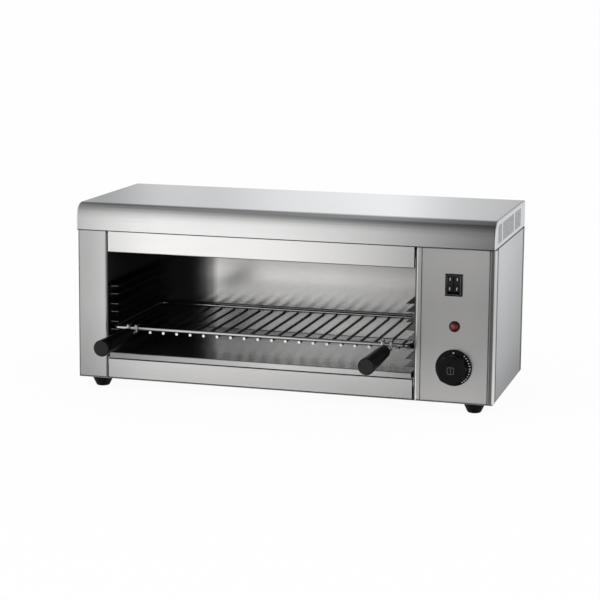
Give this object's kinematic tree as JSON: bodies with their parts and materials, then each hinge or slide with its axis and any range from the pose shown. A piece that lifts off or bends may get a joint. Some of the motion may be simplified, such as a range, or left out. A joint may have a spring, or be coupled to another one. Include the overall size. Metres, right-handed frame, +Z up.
{
  "type": "cheese melter",
  "caption": "Countertop electric cheese melter: open-fronted stainless grill chamber with a pull-out wire shelf, crumb tray, twin switch, lamp and timer.",
  "frame": {"origin": "centre of the overall bounding box in plan, at the underside of the feet", "axes": "+X to the right as seen from the front, along the cabinet's width; +Y from the open front to the back; +Z up"},
  "size_m": [0.6, 0.37, 0.2661],
  "materials": {
    "outer_steel": "fine brushed, satin",
    "chamber_steel": "smooth mill finish",
    "wire_chrome": "bright plated wire",
    "element_sheath": "heat-darkened sheath",
    "grip_black": "black heat-resistant moulding",
    "control_black": "black moulding, semi-gloss",
    "lamp_lens": "dark red translucent lens, unlit",
    "gland_black": "black nylon",
    "insulator": "cream insulating moulding",
    "foot_rubber": "matt black",
    "zinc": "bright zinc plated"
  },
  "bodies": {
    "cabinet": {"bottom_plate": "outer_steel", "left_side_panel": "outer_steel", "right_side_panel": "outer_steel", "control_panel": "outer_steel", "top_rail": "outer_steel", "bottom_rail": "outer_steel", "back_panel": "outer_steel", "cover_shell": "outer_steel", "cover_end_left": "outer_steel", "cover_end_right": "outer_steel", "chamber_wall_left": "chamber_steel", "chamber_wall_right": "chamber_steel", "chamber_back": "chamber_steel", "chamber_floor": "chamber_steel", "reflector": "chamber_steel", "element_front": "element_sheath", "element_rear": "element_sheath", "element_hanger_left": "zinc", "element_hanger_right": "zinc", "runner_left_1": "chamber_steel", "runner_left_2": "chamber_steel", "runner_left_3": "chamber_steel", "runner_left_4": "chamber_steel", "runner_right_1": "chamber_steel", "runner_right_2": "chamber_steel", "runner_right_3": "chamber_steel", "runner_right_4": "chamber_steel", "switch_housing": "control_black", "lamp_bezel": "control_black", "lamp_lens": "lamp_lens", "timer_dial": "control_black", "timer_body": "insulator", "timer_screws": "zinc", "terminal_block": "insulator", "cable_gland": "gland_black", "gland_nut": "gland_black", "foot_front_left": "foot_rubber", "foot_front_right": "foot_rubber", "foot_rear_left": "foot_rubber", "foot_rear_right": "foot_rubber", "foot_screws": "zinc", "foot_nuts": "zinc", "back_screws": "zinc"},
    "shelf": {"shelf_rim": "wire_chrome", "shelf_rods": "wire_chrome", "handle_wire_left": "wire_chrome", "handle_wire_right": "wire_chrome", "handle_grip_left": "grip_black", "handle_grip_right": "grip_black"},
    "tray": {"crumb_tray": "outer_steel"},
    "knob": {"timer_knob": "control_black", "timer_spindle": "zinc"},
    "left_rocker": {"rocker_left": "control_black"},
    "right_rocker": {"rocker_right": "control_black"}
  },
  "joints": [
    {"name": "shelf_slide", "type": "slide", "parent": "cabinet", "child": "shelf", "axis": [0, -1, 0], "range_m": [0, 0.15]},
    {"name": "tray_slide", "type": "slide", "parent": "cabinet", "child": "tray", "axis": [0, -1, 0], "range_m": [0, 0.16]},
    {"name": "timer_turn", "type": "hinge", "parent": "cabinet", "child": "knob", "pos_m": [0.2455, -0.07, 0.0641], "axis": [0, 1, 0], "range_deg": [0, 142.5]},
    {"name": "left_rocker_tilt", "type": "hinge", "parent": "cabinet", "child": "left_rocker", "pos_m": [0.2386, -0.0664, 0.1777], "axis": [1, 0, 0], "range_deg": [0, 24]},
    {"name": "right_rocker_tilt", "type": "hinge", "parent": "cabinet", "child": "right_rocker", "pos_m": [0.2484, -0.0664, 0.1777], "axis": [1, 0, 0], "range_deg": [0, 24]}
  ]
}
